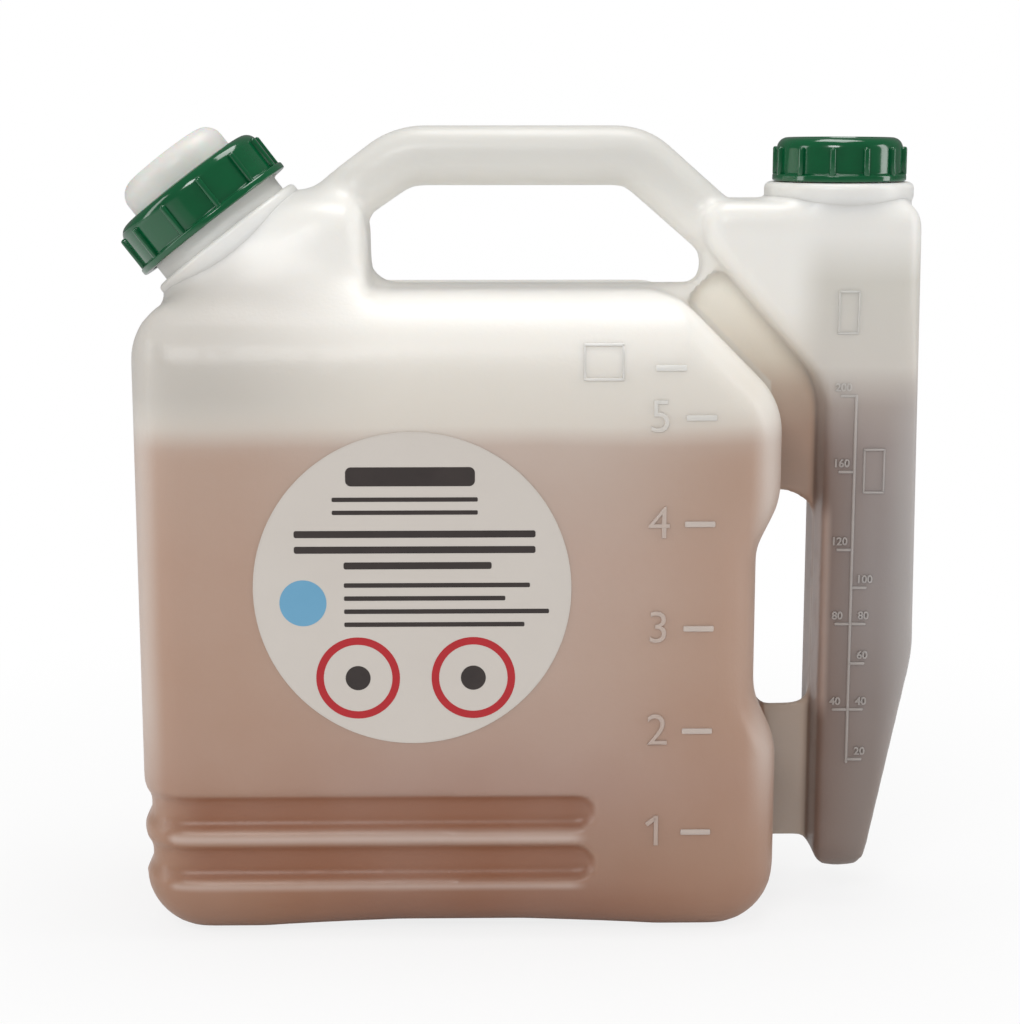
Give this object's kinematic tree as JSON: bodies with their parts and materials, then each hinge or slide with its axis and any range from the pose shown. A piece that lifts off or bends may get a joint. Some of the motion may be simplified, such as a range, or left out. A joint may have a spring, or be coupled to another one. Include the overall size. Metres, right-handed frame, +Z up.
{
  "type": "fuel mixing canister",
  "caption": "Blow-moulded fuel mixing canister with carrying handle, slanted filler neck under a green screw ring, and a slim side chamber for two-stroke oil with its own green cap.",
  "frame": {"origin": "on the surface that the canister stands on, under the middle of its outline", "axes": "+Z up, +X to the right towards the oil chamber as seen from the front, the front with the scales faces -Y"},
  "size_m": [0.303, 0.1148, 0.3026],
  "materials": {
    "natural_plastic": "satin natural polyethylene, slightly see-through, tinted by the liquids behind it",
    "green_plastic": "glossy moulded bottle-green plastic",
    "white_plastic": "satin natural white plastic",
    "seal_rubber": "matt black sealing rubber",
    "liner_foam": "soft pale foam disc",
    "label_paper": "satin printed film label, cream with dark bars and plain coloured discs",
    "fuel_liquid": "clear reddish-brown liquid",
    "oil_liquid": "clear grey-brown oil"
  },
  "bodies": {
    "canister": {"canister_body": "natural_plastic", "label": "label_paper", "fuel": "fuel_liquid", "oil": "oil_liquid"},
    "neck_seal": {"sealing_plug": "white_plastic", "plug_gasket": "seal_rubber"},
    "ring": {"screw_ring": "green_plastic"},
    "oil_seal": {"oil_cap_liner": "liner_foam"},
    "cap": {"oil_cap": "green_plastic"}
  },
  "joints": [
    {"name": "plug_lift", "type": "slide", "parent": "canister", "child": "neck_seal", "axis": [-0.6088, 0, 0.7934], "range_m": [0, 0.01625]},
    {"name": "ring_turn", "type": "hinge", "parent": "neck_seal", "child": "ring", "pos_m": [-0.1161, 0, 0.2663], "axis": [-0.6088, 0, 0.7934], "range_deg": [0, 1170]},
    {"name": "liner_lift", "type": "slide", "parent": "canister", "child": "oil_seal", "axis": [0, 0, 1], "range_m": [0, 0.015]},
    {"name": "cap_turn", "type": "hinge", "parent": "oil_seal", "child": "cap", "pos_m": [0.121, 0, 0.2798], "axis": [0, 0, 1], "range_deg": [0, 1350]}
  ],
  "couplings": [
    {"joint": "ring_turn", "follows": "plug_lift", "rad_per_m": 1256.6},
    {"joint": "cap_turn", "follows": "liner_lift", "rad_per_m": 1570.8}
  ]
}
